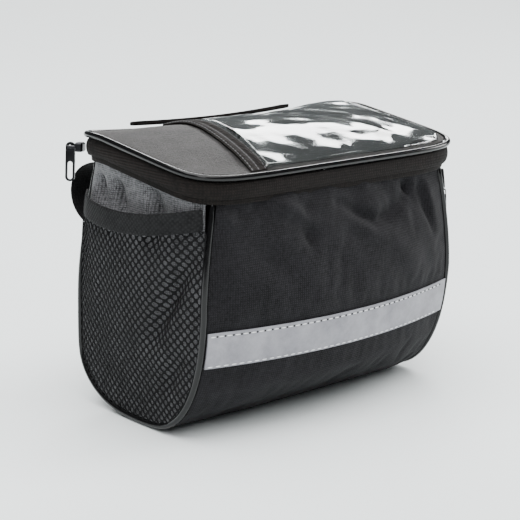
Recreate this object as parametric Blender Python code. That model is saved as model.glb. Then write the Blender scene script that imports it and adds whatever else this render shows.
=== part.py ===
# Bicycle handlebar bag: a soft box with a domed zip lid, a clear map window,
# a mesh pocket on each end and two hook-and-loop straps behind.
# Metres, +Z up. The bag stands on its flat bottom. Its front looks along -Y, its
# handlebar side along +Y and its ends along -X and +X. Heights here are measured
# from the bottom seam, which the piping keeps its own radius above the floor, so an
# empty lifts the whole bag by that much and the floor is z = 0.

import math

import bmesh
import bpy
from mathutils import Matrix, Vector

# Body of the bag
LENGTH = 0.200            # end seam to end seam
DEPTH = 0.112             # front seam to back seam
FRONT_BULGE = 0.016       # how far the filled front stands out at its middle
END_BULGE = 0.003
SHELL_WALL = 0.0022       # padded cloth
END_WALL = 0.0020
FRONT_CORNER_DEPTH = 0.041   # rounded bottom edges, quarter ellipses in the end view
FRONT_CORNER_HEIGHT = 0.070
BACK_CORNER_DEPTH = 0.047
BACK_CORNER_HEIGHT = 0.033
FRONT_UPRIGHT = 0.006     # upright stretch above each rounded edge: higher up, the seams
BACK_UPRIGHT = 0.036      # lean in to the lid

# Lid
LID_HEIGHT = 0.158        # rim of the lid, at the middle of the depth
LID_RISE = 0.0155         # how much higher the rim is at the back seam than at the front
LID_RISE_END = 0.030      # the rim rises as far back as this and sags behind it
CORNER_SAG = 0.0012       # sag of the rim at the back corners
HINGE_SAG = 0.0062        # further sag in the middle of the back half, where it hinges
LID_OVERHANG = 0.0062     # rim of the lid beyond the seams, at the front and the ends
LID_DEPTH = 0.1215        # front rim to back rim
LID_SQUARENESS = 6.6      # exponent of the rounded rectangle seen from above
LID_DOME = 0.0042         # crown of the lid above its rim
DOME_ALONG = 3.2          # exponents of the dome: the higher, the flatter in the middle
DOME_ACROSS = 2.4
LID_WALL = 0.0020
BAND_HEIGHT = 0.0102
BAND_WALL = 0.0024
BAND_BELLY = 0.0012       # how far the band rounds out at its middle
RIM_PIPING_RADIUS = 0.0019
TAPE_WALL = 0.0014        # zip tape under the band
TAPE_SHOW = 0.0036        # zip tape that shows below the band
TAPE_HIDDEN = 0.0070      # zip tape behind the band
COLLAR = 0.0060           # body cloth behind the zip tape

# Map window and the wide tape that holds its left edge
WINDOW_WALL = 0.0008
WINDOW_PUFF = 0.0012      # air under the clear sheet
WINDOW_SHORT = 0.0015     # the clear sheet stops this much shorter at the right end
WINDOW_MARGIN = 0.0042    # clear sheet to the rim piping
BINDING_WIDTH = 0.0092
BINDING_WALL = 0.0017
HINGE_STRIP_LENGTH = 0.126
HINGE_STRIP_DEPTH = 0.0060
HINGE_STRIP_HEIGHT = 0.0026

# Seams, strip and pockets
SEAM_PIPING_RADIUS = 0.0019
STRIP_WIDTH = 0.0207
STRIP_TOP = 0.0645        # top edge of the reflective strip
STRIP_WALL = 0.0008
POCKET_BULGE = 0.0085     # slack of the net away from the end panel
NET_WALL = 0.0012
NET_CELL = 0.0205         # diagonal of one coarse diamond of the net
NET_STRAND = 0.0034       # width of a strand
NET_TUCK = 0.0020         # how far the net reaches up behind the lowest part of its hem
HEM_HEIGHT = 0.0120
HEM_WALL = 0.0018
HEM_FRONT_DROP = 0.0010   # end of the hem below the zip tape at the front seam
HEM_BACK_DROP = 0.0150    # and at the back seam
HEM_SAG = 0.0055          # how far the hem hangs between its ends

# Hook-and-loop straps on the handlebar side
STRAP_WIDTH = 0.0240
STRAP_WALL = 0.0020
STRAP_SPACING = 0.1400    # centre to centre
STRAP_BELOW_RIM = 0.0178
STRAP_DROP = 0.0420       # height of the loop
STRAP_REACH = 0.0340      # how far the loop stands off the back
BACK_FILL = 0.0021        # the back panel stands out beyond its seams by this
FLAT_SHARE = 0.62         # share of the half length over which back and bottom are flat

# Zip slider and its pull, in metal, on the face of the band that covers the zip
SLIDER_TURN = 137.0       # place round the lid in degrees: 135 is the back left corner
SLIDER_DROP = 0.0080      # middle of the slider below the rim of the lid
SLIDER_LENGTH = 0.0095    # along the band
SLIDER_HEIGHT = 0.0055
SLIDER_DEPTH = 0.0048
CROWN_RADIUS = 0.0008     # wire of the bridge that the pull hangs on
PULL_LENGTH = 0.0230
PULL_WIDTH = 0.0056
PULL_WALL = 0.0014
PULL_RIM = 0.0012         # metal round the eye and round the slot
PULL_SLOT = 0.0105        # length of the slot in the low end

GAP = 0.0003              # between pieces that touch
STRAP_TOP = LID_HEIGHT - STRAP_BELOW_RIM
TAPE_CLEARANCE = 0.0008   # between the zip tape and the body cloth behind it
NET_CLEARANCE = 0.0010    # between the coarse net and its hem
LID_CLEARANCE = 0.0023    # under what is sewn on top of the domed lid
STRAP_CLEARANCE = 0.0008  # between a strap and the back panel that it is sewn to
HINGE_CLEARANCE = 0.00035 # bridge wire inside the eye of the pull

# Folds of the front, from the upper edge down: places as shares of the half length
# and of the front's height, widths as shares of the length, depths of the bulge.
FRONT_FOLDS = (
    # x from, height from, x to, height to, width, depth
    (-0.44, 0.96, -0.20, 0.82, 0.030, -0.16),
    (-0.30, 0.99, -0.05, 0.80, 0.026, 0.12),
    (0.30, 0.82, 0.56, 1.00, 0.032, -0.20),
    (0.16, 0.98, 0.32, 0.80, 0.030, 0.10),
    (0.60, 0.94, 0.70, 0.84, 0.035, -0.24),
    (0.74, 0.98, 0.86, 0.62, 0.030, 0.10),
    (-0.12, 0.78, -0.02, 0.58, 0.040, -0.10),
    (-0.92, 0.80, -0.86, 0.42, 0.026, -0.08),
)

# Upright folds of the end panels above the pocket: place across the end from the
# front seam (-1) to the back seam (+1), width as a share of the depth, depth as a
# share of the end panel's slack.
END_FOLDS = (
    # place, width, depth
    (-0.42, 0.050, 0.62),
    (0.22, 0.040, 0.50),
    (0.62, 0.040, 0.56),
)
END_SLACK = 0.0050
FOLD_START = 0.70         # the folds start at this share of the panel's height
FOLD_RISE = 0.16          # and are full after this share of it
FOLD_FADE = 0.05          # they fade out over this share of it below the zip
END_FULL_HEIGHT = 0.079   # the end panel stands out in full above this height

# Creases of the pocket net: from and to as shares across the end and of the net's
# height, width as a share of the depth, depth as a share of the net's slack there.
POCKET_FOLDS = (
    # across from, height from, across to, height to, width, depth
    (-0.86, 0.90, -0.34, 0.46, 0.070, 0.62),
    (-0.70, 0.42, -0.45, 0.22, 0.060, 0.35),
    (0.35, 0.80, 0.60, 0.30, 0.070, 0.25),
)

# Route of the window's binding over the lid: place from the front rim (-1) to the
# back rim (+1), and the centre line's place along the lid as a share of its half length.
BINDING_ROUTE = (
    # across, along
    (-1.00, -0.593),
    (-0.74, -0.546),
    (-0.41, -0.494),
    (-0.04, -0.433),
    (0.33, -0.386),
    (1.00, -0.330),
)

ACROSS_FRONT = 22         # cloth divisions along the front, bottom and back
ACROSS_END = 14
LEAN_ROWS = 6
WALL_ROWS = 2
CORNER_ROWS = 5
RIM_POINTS = 48
CORNER_CROWDING = 0.55    # how far the points round the rim are drawn into its corners


def clamp(value, low=0.0, high=1.0):
    return max(low, min(high, value))


def mix(a, b, share):
    return a + (b - a) * share


def smooth(share):
    share = clamp(share)
    return share * share * (3.0 - 2.0 * share)


# Materials

def make_material(name, colour, roughness, metallic=0.0, alpha=1.0):
    material = bpy.data.materials.new(name)
    material.use_nodes = True
    shader = material.node_tree.nodes["Principled BSDF"]
    shader.inputs["Base Color"].default_value = (*colour, 1.0)
    shader.inputs["Roughness"].default_value = roughness
    shader.inputs["Metallic"].default_value = metallic
    shader.inputs["Alpha"].default_value = alpha
    return material


# Meshes

def finish(name, mesh_data, material, smooth_angle=40.0):
    bmesh.ops.remove_doubles(mesh_data, verts=mesh_data.verts, dist=1e-6)
    mesh_data.normal_update()
    bmesh.ops.recalc_face_normals(mesh_data, faces=mesh_data.faces)
    if mesh_data.calc_volume(signed=True) < 0:
        bmesh.ops.reverse_faces(mesh_data, faces=mesh_data.faces)
    mesh = bpy.data.meshes.new(name)
    mesh_data.to_mesh(mesh)
    mesh_data.free()
    mesh.shade_smooth()
    mesh.set_sharp_from_angle(angle=math.radians(smooth_angle))
    mesh.materials.append(material)
    piece = bpy.data.objects.new(name, mesh)
    bpy.context.scene.collection.objects.link(piece)
    return piece


def add_points(mesh_data, rows):
    return [[mesh_data.verts.new(point) for point in row] for row in rows]


def bridge_rows(mesh_data, first, second, closed=False):
    count = len(first)
    last = count if closed else count - 1
    for i in range(last):
        j = (i + 1) % count
        mesh_data.faces.new((first[i], first[j], second[j], second[i]))


def slab(name, outer, inner, material):
    """A sheet with thickness: two grids of points joined round their edges."""
    mesh_data = bmesh.new()
    top = add_points(mesh_data, outer)
    under = add_points(mesh_data, inner)
    for grid in (top, under):
        for k in range(len(grid) - 1):
            bridge_rows(mesh_data, grid[k], grid[k + 1])
    bridge_rows(mesh_data, top[0], under[0])
    bridge_rows(mesh_data, top[-1], under[-1])
    for column in (0, -1):
        top_edge = [row[column] for row in top]
        under_edge = [row[column] for row in under]
        bridge_rows(mesh_data, top_edge, under_edge)
    return finish(name, mesh_data, material)


def ring_solid(name, loops, material):
    """A closed ring: each loop is one corner of its section, carried round the plan."""
    mesh_data = bmesh.new()
    rings = add_points(mesh_data, loops)
    for k in range(len(rings)):
        bridge_rows(mesh_data, rings[k], rings[(k + 1) % len(rings)], closed=True)
    return finish(name, mesh_data, material)


def tube(name, points, radius, material, closed=False, resolution=1):
    curve = bpy.data.curves.new(name, "CURVE")
    curve.dimensions = "3D"
    curve.bevel_depth = radius
    curve.bevel_resolution = resolution
    curve.use_fill_caps = True
    spline = curve.splines.new("POLY")
    spline.points.add(len(points) - 1)
    for target, point in zip(spline.points, points):
        target.co = (*point, 1.0)
    spline.use_cyclic_u = closed
    curve.materials.append(material)
    piece = bpy.data.objects.new(name, curve)
    bpy.context.scene.collection.objects.link(piece)
    return piece


# Plan of the lid: a rounded rectangle that everything round the rim follows

def rim_half_length(offset=0.0):
    return LENGTH / 2 + LID_OVERHANG + offset


def rim_half_depth(offset=0.0):
    return LID_DEPTH / 2 + offset


RIM_CENTRE = rim_half_depth() - DEPTH / 2 - LID_OVERHANG


def rim_turns():
    """Angles round the plan, closer together in the corners."""
    turns = []
    for i in range(RIM_POINTS):
        turn = 2 * math.pi * i / RIM_POINTS
        power = 2 / LID_SQUARENESS
        corner = math.atan2(
            math.copysign(abs(math.sin(turn)) ** power, math.sin(turn)),
            math.copysign(abs(math.cos(turn)) ** power, math.cos(turn)))
        if corner < 0:
            corner += 2 * math.pi
        turns.append(mix(turn, corner, CORNER_CROWDING))
    return turns


def rim_point(turn, offset=0.0, share=1.0):
    cosine = math.cos(turn)
    sine = math.sin(turn)
    reach = (abs(cosine) ** LID_SQUARENESS + abs(sine) ** LID_SQUARENESS) ** (-1 / LID_SQUARENESS)
    x = rim_half_length(offset) * cosine * reach * share
    y = RIM_CENTRE + rim_half_depth(offset) * sine * reach * share
    return x, y


def rim_y_at(side, x, offset=0.0):
    share = clamp(abs(x) / rim_half_length(offset))
    reach = (1 - share ** LID_SQUARENESS) ** (1 / LID_SQUARENESS)
    return RIM_CENTRE + side * rim_half_depth(offset) * reach


def rim_x_at(y, offset=0.0):
    share = clamp(abs(y - RIM_CENTRE) / rim_half_depth(offset))
    return rim_half_length(offset) * (1 - share ** LID_SQUARENESS) ** (1 / LID_SQUARENESS)


def rim_z(x, y):
    level = LID_HEIGHT + LID_RISE * min(y, LID_RISE_END) / DEPTH
    back = RIM_CENTRE + rim_half_depth()
    middle = 1 - (x / rim_half_length()) ** 2
    sag = CORNER_SAG * smooth((y - LID_RISE_END) / (back - LID_RISE_END))
    return level - sag - HINGE_SAG * middle * smooth(y / back)


# Heights and offsets round the rim, from the piping inwards and downwards

BAND_TOP = -(RIM_PIPING_RADIUS + GAP)
BAND_FOOT = BAND_TOP - BAND_HEIGHT
BAND_FACE = 0.0008
TAPE_FACE = BAND_FACE - BAND_WALL - GAP
TAPE_FOOT = BAND_FOOT - TAPE_SHOW
TAPE_HEAD = BAND_FOOT + TAPE_HIDDEN
BODY_FACE = TAPE_FACE - TAPE_WALL - TAPE_CLEARANCE
BODY_TOP = TAPE_FOOT + COLLAR
BODY_LEAN = TAPE_FOOT - 0.5 * GAP
CORNER_SHARE = 2 ** (-1 / LID_SQUARENESS)
TOP_SEAM_X = rim_half_length(BODY_FACE) * CORNER_SHARE
TOP_SEAM_REACH = rim_half_depth(BODY_FACE) * CORNER_SHARE
SEAM_INSET = SEAM_PIPING_RADIUS + GAP


def body_top_z(y):
    return rim_z(TOP_SEAM_X, y) + BODY_TOP


def lean_top_z(y):
    return rim_z(TOP_SEAM_X, y) + BODY_LEAN


def lean_foot_z(y):
    front = FRONT_CORNER_HEIGHT + FRONT_UPRIGHT
    back = BACK_CORNER_HEIGHT + BACK_UPRIGHT
    return mix(front, back, y / DEPTH + 0.5)


def lean(y, z):
    """0 where the body is a plain box, 1 at the zip, where it follows the lid's plan."""
    foot = lean_foot_z(y)
    share = clamp((z - foot) / (lean_top_z(y) - foot))
    return share ** 1.5


def seam_x(k):
    return mix(LENGTH / 2, TOP_SEAM_X, k)


def top_seam_y(side):
    return RIM_CENTRE + side * TOP_SEAM_REACH


def seam_y(side, k):
    return mix(side * DEPTH / 2, top_seam_y(side), k)


def corner_sizes(side):
    if side < 0:
        return FRONT_CORNER_DEPTH, FRONT_CORNER_HEIGHT
    return BACK_CORNER_DEPTH, BACK_CORNER_HEIGHT


def outline_y(side, z):
    """Where the seam runs in the end view, at the front (-1) or the back (+1)."""
    depth, height = corner_sizes(side)
    if z < height:
        rest = clamp((height - z) / height)
        return side * (DEPTH / 2 - depth + depth * math.sqrt(1 - rest * rest))
    y = side * DEPTH / 2
    return seam_y(side, lean(y, z))


def station_heights(side):
    """Heights of the cloth's rows, from the zip down to the floor."""
    y = side * DEPTH / 2
    height = corner_sizes(side)[1]
    top = body_top_z(top_seam_y(side))
    lean_top = lean_top_z(y)
    lean_foot = lean_foot_z(y)
    rows = [top]
    rows += [mix(lean_top, lean_foot, i / LEAN_ROWS) for i in range(LEAN_ROWS)]
    rows += [mix(lean_foot, height, i / WALL_ROWS) for i in range(WALL_ROWS)]
    for i in range(CORNER_ROWS + 1):
        turn = 0.5 * math.pi * i / CORNER_ROWS
        rows.append(height * (1 - math.sin(turn)))
    return rows


def fold_share(x, z, fold):
    """How much of a fold is felt at a place: 1 on its line, fading to 0 beside it."""
    x0, z0, x1, z1, width = fold
    line = Vector((x1 - x0, z1 - z0))
    away = Vector((x - x0, z - z0))
    along = clamp(away.dot(line) / line.length_squared)
    distance = (away - line * along).length
    taper = math.sin(math.pi * mix(0.12, 0.88, along))
    return math.exp(-(distance / width) ** 2) * taper


def front_folds(x, z):
    top = lean_top_z(-DEPTH / 2)
    total = 0.0
    for x0, h0, x1, h1, width, depth in FRONT_FOLDS:
        line = (x0 * LENGTH / 2, h0 * top, x1 * LENGTH / 2, h1 * top, width * LENGTH)
        total += depth * FRONT_BULGE * fold_share(x, z, line)
    return total * smooth((top - z) / (0.06 * top))


def plateau(u):
    """Flat over the middle of the back and the bottom, rounding off to the seams."""
    edge = clamp((abs(u) - FLAT_SHARE) / (1 - FLAT_SHARE))
    return 1 - edge ** 2


def wall_point(side, u, z, folds=True):
    """Outer face of the front (-1) or back (+1), for u from -1 to +1 along the bag."""
    height = corner_sizes(side)[1]
    k = lean(side * DEPTH / 2, z)
    fade = 1.0
    if z < height:
        rest = clamp((height - z) / height)
        fade = math.sqrt(1 - rest * rest)
    if side < 0:
        fill = FRONT_BULGE * (1 - u * u)
    else:
        fill = BACK_FILL * plateau(u)
    x0 = u * LENGTH / 2
    y0 = outline_y(side, z) if z < height else side * DEPTH / 2
    low = Vector((x0, y0 + side * fill * fade, z))
    x1 = u * TOP_SEAM_X
    y1 = rim_y_at(side, x1, BODY_FACE)
    sag = rim_z(x1, y1) - rim_z(TOP_SEAM_X, top_seam_y(side))
    high = Vector((x1, y1, z + sag))
    point = low.lerp(high, k)
    point.z -= SEAM_PIPING_RADIUS * (1 - fade) ** 2 * plateau(u)
    if side < 0 and folds:
        point.y -= front_folds(point.x, z) * (1 - abs(u) ** 6)
    return point


def edge_share(side, z):
    """u at which the cloth stops beside the seam piping."""
    step = 0.02
    reach = (wall_point(side, 1, z, False) - wall_point(side, 1 - step, z, False)).length / step
    return 1 - SEAM_INSET / reach


def bag_wrap(material):
    outer = []
    inner = []
    for side in (-1, 1):
        heights = station_heights(side)
        rows_out = []
        rows_in = []
        for z in heights:
            limit = edge_share(side, z)
            row_out = []
            row_in = []
            for i in range(ACROSS_FRONT + 1):
                u = limit * (2 * i / ACROSS_FRONT - 1)
                point = wall_point(side, u, z)
                row_out.append(point)
                row_in.append(point + inward(side, u, z) * SHELL_WALL)
            rows_out.append(row_out)
            rows_in.append(row_in)
        if side > 0:
            rows_out.reverse()
            rows_in.reverse()
        outer += rows_out
        inner += rows_in
    return slab("bag_wrap", outer, inner, material)


def inward(side, u, z):
    """Unit vector from the outer face of the front or back into the bag."""
    depth, height = corner_sizes(side)
    if z < height:
        rest = clamp((height - z) / height)
        up = Vector((0, -side * math.sqrt(1 - rest * rest) / depth, rest / height)).normalized()
        if z < 1e-6:
            up = Vector((0, 0, 1))
        return up
    step = 1e-3
    along = wall_point(side, u + step, z, False) - wall_point(side, u - step, z, False)
    return Vector((0, 0, 1)).cross(along).normalized() * (1 if side < 0 else -1)


# End panels and what lies on them

def across_end(y, z):
    front = outline_y(-1, z)
    back = outline_y(1, z)
    return clamp((2 * y - front - back) / (back - front), -1, 1)


def end_reach(y, z):
    """Distance of the end panel's outer face from the bag's middle plane."""
    k = lean(y, z)
    across = across_end(y, z)
    foot = smooth(z / END_FULL_HEIGHT)
    low = LENGTH / 2 + END_BULGE * (1 - across * across) * foot
    high = rim_x_at(RIM_CENTRE + across * TOP_SEAM_REACH, BODY_FACE)
    return mix(low, high, k)


def end_folds(y, z):
    """Upright dents between the zip and the pocket, all pushed inwards."""
    top = lean_top_z(y)
    across = across_end(y, z)
    rise = smooth((z - FOLD_START * top) / (FOLD_RISE * top))
    rise *= smooth((top - z) / (FOLD_FADE * top))
    total = 0.0
    for place, width, depth in END_FOLDS:
        distance = (across - place) * DEPTH / 2
        total += depth * END_SLACK * math.exp(-(distance / (width * DEPTH)) ** 2)
    return total * rise * (1 - across ** 4)


def inset_outline(side, z, inset):
    """Point of the end view's outline, moved in by an inset at right angles to it."""
    depth, height = corner_sizes(side)
    y = outline_y(side, z)
    if z >= height:
        return y - side * inset, z
    rest = clamp((height - z) / height)
    normal = Vector((side * math.sqrt(1 - rest * rest) / depth, -rest / height)).normalized()
    return y - normal.x * inset, z - normal.y * inset


def end_panel(name, end, material):
    rows = []
    for z_front, z_back in zip(station_heights(-1), station_heights(1)):
        y0, z0 = inset_outline(-1, z_front, SEAM_INSET)
        y1, z1 = inset_outline(1, z_back, SEAM_INSET)
        row = []
        for i in range(ACROSS_END + 1):
            share = i / ACROSS_END
            row.append((mix(y0, y1, share), mix(z0, z1, share)))
        rows.append(row)
    outer = []
    inner = []
    for row in rows:
        reach = [end_reach(y, z) - end_folds(y, z) for y, z in row]
        outer.append([Vector((end * x, y, z)) for x, (y, z) in zip(reach, row)])
        inner.append([Vector((end * (x - END_WALL), y, z)) for x, (y, z) in zip(reach, row)])
    return slab(name, outer, inner, material)


def seam_piping(name, end, material):
    """A cord along the seam: down the front, under the bottom and up the back."""
    points = []
    for side in (-1, 1):
        heights = station_heights(side)[1:]
        run = []
        for z in heights:
            k = lean(side * DEPTH / 2, z)
            run.append(Vector((end * seam_x(k), outline_y(side, z), z)))
        run[0].z -= 0.4 * SEAM_PIPING_RADIUS
        if side > 0:
            run.reverse()
        points += run
    return tube(name, points, SEAM_PIPING_RADIUS, material)


def hem_top_z(across):
    front = lean_top_z(-DEPTH / 2) - HEM_FRONT_DROP
    back = lean_top_z(DEPTH / 2) - HEM_BACK_DROP
    return mix(front, back, (across + 1) / 2) - HEM_SAG * (1 - across * across)


POCKET_TOP = hem_top_z(0)
NET_TOP = hem_top_z(-1) - HEM_HEIGHT + NET_TUCK


def pocket_slack(y, z):
    """How far the pocket stands off the end panel."""
    across = across_end(y, z)
    height = clamp(z / POCKET_TOP)
    slack = POCKET_BULGE * (1 - across * across) * (1 - (1 - height) ** 2)
    dent = 0.0
    for a0, h0, a1, h1, width, depth in POCKET_FOLDS:
        line = (a0 * DEPTH / 2, h0 * POCKET_TOP, a1 * DEPTH / 2, h1 * POCKET_TOP, width * DEPTH)
        dent = max(dent, depth * fold_share(y, z, line))
    return slack * (1 - dent)


def clip_polygon(polygon, start, end):
    """The part of a convex polygon on the left of a line."""
    kept = []
    side = [(end[0] - start[0]) * (p[1] - start[1]) - (end[1] - start[1]) * (p[0] - start[0])
            for p in polygon]
    for i, point in enumerate(polygon):
        j = (i + 1) % len(polygon)
        if side[i] >= 0:
            kept.append(point)
        if side[i] * side[j] < 0:
            share = side[i] / (side[i] - side[j])
            other = polygon[j]
            kept.append((mix(point[0], other[0], share), mix(point[1], other[1], share)))
    return kept


def net_outline():
    """Edge of the net in the end view, turning left all the way round."""
    inset = SEAM_INSET + GAP
    front = [inset_outline(-1, z, inset) for z in station_heights(-1) if z < NET_TOP]
    back = [inset_outline(1, z, inset) for z in station_heights(1) if z < NET_TOP]
    first = (outline_y(-1, NET_TOP) + inset, NET_TOP)
    last = (outline_y(1, NET_TOP) - inset, NET_TOP)
    return [first] + front + back[::-1] + [last]


def convex_hull(points):
    points = sorted(set(points))
    halves = []
    for ordered in (points, points[::-1]):
        half = []
        for p in ordered:
            while len(half) > 1:
                a, b = half[-2], half[-1]
                turn = (b[0] - a[0]) * (p[1] - a[1]) - (b[1] - a[1]) * (p[0] - a[0])
                if turn > 1e-12:
                    break
                half.pop()
            half.append(p)
        halves.append(half[:-1])
    return halves[0] + halves[1]


def inside_outline(point, outline, margin):
    for i, start in enumerate(outline):
        end = outline[(i + 1) % len(outline)]
        along = Vector((end[0] - start[0], end[1] - start[1]))
        away = Vector((point[0] - start[0], point[1] - start[1]))
        if (along.x * away.y - along.y * away.x) / along.length < margin:
            return False
    return True


def mesh_pocket(name, end, material):
    """The net: a lattice of diamonds, each one open, with whole diamonds at its edge."""
    outline = convex_hull(net_outline())
    half = NET_CELL / 2
    hole = half - NET_STRAND / math.sqrt(2)
    border = 0.5 * NET_STRAND
    faces = []
    columns = int(DEPTH / NET_CELL) + 2
    rows = int(NET_TOP / half) + 2
    for row in range(-1, rows + 1):
        for column in range(-columns, columns + 1):
            y = (column + 0.5 * (row % 2)) * NET_CELL
            z = NET_TOP - row * half
            corners = [(y + half, z), (y, z + half), (y - half, z), (y, z - half)]
            inner = [(y + hole, z), (y, z + hole), (y - hole, z), (y, z - hole)]
            if all(inside_outline(p, outline, border) for p in inner):
                for i in range(4):
                    j = (i + 1) % 4
                    faces.append([corners[i], corners[j], inner[j], inner[i]])
            else:
                faces.append(corners)
    outer = bmesh.new()
    for clipped in faces:
        for i, start in enumerate(outline):
            clipped = clip_polygon(clipped, start, outline[(i + 1) % len(outline)])
            if len(clipped) < 3:
                break
        if len(clipped) >= 3 and polygon_area(clipped) > 1e-9:
            verts = [outer.verts.new((0, y, z)) for y, z in clipped]
            outer.faces.new(verts)
    bmesh.ops.remove_doubles(outer, verts=outer.verts, dist=2e-5)
    bmesh.ops.dissolve_degenerate(outer, edges=outer.edges, dist=1e-5)
    bmesh.ops.triangulate(outer, faces=[f for f in outer.faces if len(f.verts) > 4])
    made = bmesh.ops.extrude_face_region(outer, geom=outer.faces[:])
    lifted = {v for v in made["geom"] if isinstance(v, bmesh.types.BMVert)}
    for vert in outer.verts:
        y, z = vert.co.y, vert.co.z
        reach = end_reach(y, z) + GAP + pocket_slack(y, z)
        if vert in lifted:
            reach += NET_WALL
        vert.co.x = end * reach
    return finish(name, outer, material)


def polygon_area(polygon):
    total = 0.0
    for i, point in enumerate(polygon):
        other = polygon[(i + 1) % len(polygon)]
        total += point[0] * other[1] - other[0] * point[1]
    return abs(total) / 2


def pocket_hem(name, end, material):
    inset = SEAM_INSET + GAP
    rows = 2
    inner = []
    outer = []
    for r in range(rows + 1):
        row_in = []
        row_out = []
        for i in range(ACROSS_END + 1):
            across = 2 * i / ACROSS_END - 1
            z = hem_top_z(across) - HEM_HEIGHT * r / rows
            y0 = outline_y(-1, z) + inset
            y1 = outline_y(1, z) - inset
            y = mix(y0, y1, i / ACROSS_END)
            reach = end_reach(y, z) + pocket_slack(y, min(z, POCKET_TOP)) + NET_WALL + GAP + NET_CLEARANCE
            row_in.append(Vector((end * reach, y, z)))
            row_out.append(Vector((end * (reach + HEM_WALL), y, z)))
        inner.append(row_in)
        outer.append(row_out)
    return slab(name, outer, inner, material)


# Reflective strip across the front

def reflective_strip(material):
    rows = 3
    inner = []
    outer = []
    for r in range(rows + 1):
        z = STRIP_TOP - STRIP_WIDTH * r / rows
        limit = edge_share(-1, z)
        row_in = []
        row_out = []
        for i in range(ACROSS_FRONT + 1):
            u = limit * (2 * i / ACROSS_FRONT - 1)
            point = wall_point(-1, u, z)
            away = -inward(-1, u, z)
            row_in.append(point + away * GAP)
            row_out.append(point + away * (GAP + STRIP_WALL))
        inner.append(row_in)
        outer.append(row_out)
    return slab("reflective_strip", outer, inner, material)


# Lid

def lid_z(x, y):
    """Upper face of the lid's cloth."""
    a = clamp(abs(x) / rim_half_length())
    b = clamp(abs(y - RIM_CENTRE) / rim_half_depth())
    crown = (1 - a ** DOME_ALONG) * (1 - b ** DOME_ACROSS)
    return rim_z(x, y) + 0.5 * LID_WALL + LID_DOME * crown


def lid_top(material):
    turns = rim_turns()
    shares = (1.0, 0.92, 0.82, 0.68, 0.48, 0.22)
    offset = -(RIM_PIPING_RADIUS + GAP)
    mesh_data = bmesh.new()
    upper = []
    lower = []
    for share in shares:
        plan = [rim_point(turn, offset, share) for turn in turns]
        upper.append([mesh_data.verts.new((x, y, lid_z(x, y))) for x, y in plan])
        lower.append([mesh_data.verts.new((x, y, lid_z(x, y) - LID_WALL)) for x, y in plan])
    crown = lid_z(0, RIM_CENTRE)
    for rings, height in ((upper, crown), (lower, crown - LID_WALL)):
        for k in range(len(rings) - 1):
            bridge_rows(mesh_data, rings[k], rings[k + 1], closed=True)
        middle = mesh_data.verts.new((0, RIM_CENTRE, height))
        last = rings[-1]
        for i, vert in enumerate(last):
            mesh_data.faces.new((vert, last[(i + 1) % len(last)], middle))
    bridge_rows(mesh_data, upper[0], lower[0], closed=True)
    return finish("lid_top", mesh_data, material)


def rim_loop(offset, height):
    loop = []
    for turn in rim_turns():
        x, y = rim_point(turn, offset)
        loop.append(Vector((x, y, rim_z(x, y) + height)))
    return loop


def lid_band(material):
    middle = (BAND_TOP + BAND_FOOT) / 2
    face = BAND_FACE
    loops = [
        rim_loop(face - BAND_BELLY, BAND_TOP),
        rim_loop(face, middle),
        rim_loop(face - BAND_BELLY, BAND_FOOT),
        rim_loop(face - BAND_WALL, BAND_FOOT),
        rim_loop(face - BAND_WALL, BAND_TOP),
    ]
    return ring_solid("lid_band", loops, material)


def zip_tape(material):
    loops = [
        rim_loop(TAPE_FACE, TAPE_HEAD),
        rim_loop(TAPE_FACE, TAPE_FOOT),
        rim_loop(TAPE_FACE - TAPE_WALL, TAPE_FOOT),
        rim_loop(TAPE_FACE - TAPE_WALL, TAPE_HEAD),
    ]
    return ring_solid("zip_tape", loops, material)


def lid_piping(material):
    points = rim_loop(0.0, 0.0)
    return tube("lid_piping", points, RIM_PIPING_RADIUS, material, closed=True)


def binding_centre(across):
    """Place of the binding's centre line along the lid, read from its route."""
    route = BINDING_ROUTE
    for (a0, s0), (a1, s1) in zip(route, route[1:]):
        if across <= a1:
            return mix(s0, s1, (across - a0) / (a1 - a0)) * rim_half_length()
    return route[-1][1] * rim_half_length()


def lid_span_y(across, x):
    """Place across the clear window's stretch, short of the strip at the back."""
    back_margin = RIM_PIPING_RADIUS + HINGE_STRIP_DEPTH + 4 * GAP
    front = rim_y_at(-1, x, -WINDOW_MARGIN)
    back = rim_y_at(1, x, -back_margin)
    return mix(front, back, (across + 1) / 2)


def window_binding(material):
    rows = 14
    columns = 2
    outer = []
    inner = []
    for r in range(rows + 1):
        across = 2 * r / rows - 1
        row_out = []
        row_in = []
        for c in range(columns + 1):
            x = binding_centre(across) + BINDING_WIDTH * (c / columns - 0.5)
            y = lid_span_y(across, x)
            row_in.append(Vector((x, y, lid_z(x, y) + LID_CLEARANCE)))
            row_out.append(Vector((x, y, lid_z(x, y) + LID_CLEARANCE + BINDING_WALL)))
        outer.append(row_out)
        inner.append(row_in)
    return slab("window_binding", outer, inner, material)


def map_window(material):
    rows = 12
    columns = 13
    right = rim_half_length(-WINDOW_MARGIN - WINDOW_SHORT)
    outer = []
    inner = []
    for r in range(rows + 1):
        across = 2 * r / rows - 1
        left = binding_centre(across) + BINDING_WIDTH / 2 + GAP
        row_out = []
        row_in = []
        for c in range(columns + 1):
            share = c / columns
            x = mix(left, right, share)
            y = lid_span_y(across, x)
            puff = WINDOW_PUFF * math.sin(math.pi * share) * (1 - across * across)
            row_in.append(Vector((x, y, lid_z(x, y) + LID_CLEARANCE + puff)))
            row_out.append(Vector((x, y, lid_z(x, y) + LID_CLEARANCE + puff + WINDOW_WALL)))
        outer.append(row_out)
        inner.append(row_in)
    return slab("map_window", outer, inner, material)


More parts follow.
